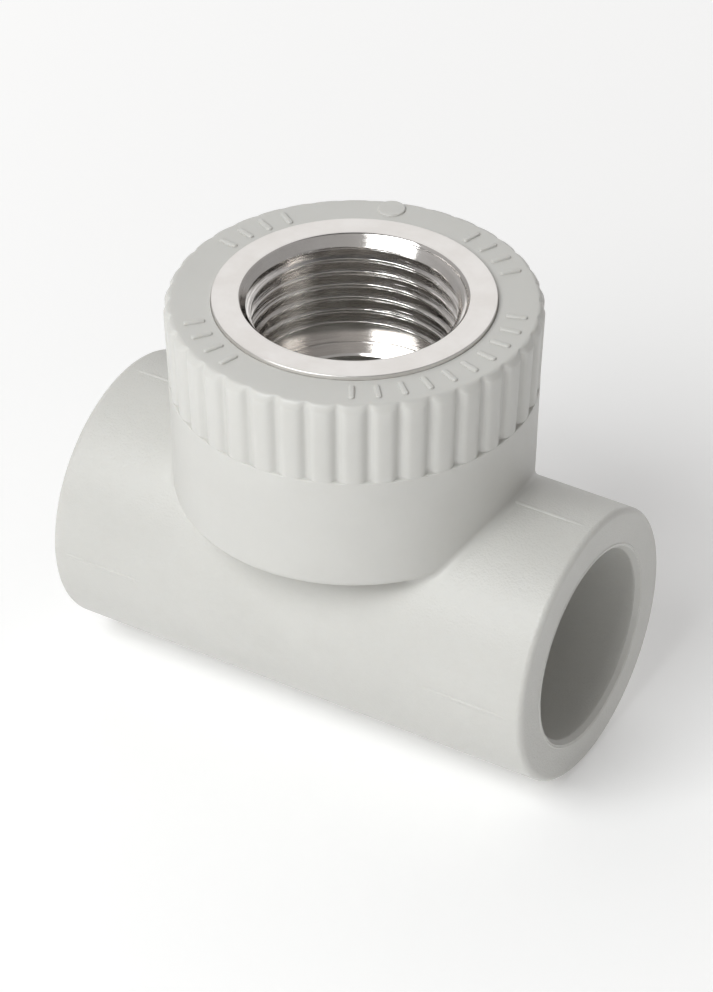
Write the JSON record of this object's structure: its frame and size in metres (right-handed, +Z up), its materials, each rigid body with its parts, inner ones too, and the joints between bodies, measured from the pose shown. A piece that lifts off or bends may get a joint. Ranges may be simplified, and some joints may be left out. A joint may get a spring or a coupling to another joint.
{
  "type": "socket-fusion pipe tee with threaded branch",
  "caption": "Grey plastic pipe tee: plain fusion sockets at both ends of the run and a nickel-plated threaded metal insert in a ribbed branch collar.",
  "frame": {"origin": "where the axis of the run crosses the axis of the branch, at the middle of the waterway between the two pipe stops", "axes": "+X along the run, +Z up the branch and out of the threaded insert, +Y across both"},
  "size_m": [0.0658, 0.0446, 0.0561],
  "materials": {
    "body_plastic": "satin",
    "nickel_plate": "polished",
    "seal_rubber": "matte"
  },
  "bodies": {
    "root": {"body": "body_plastic", "threaded_insert": "nickel_plate", "seal_ring": "seal_rubber"}
  },
  "joints": []
}
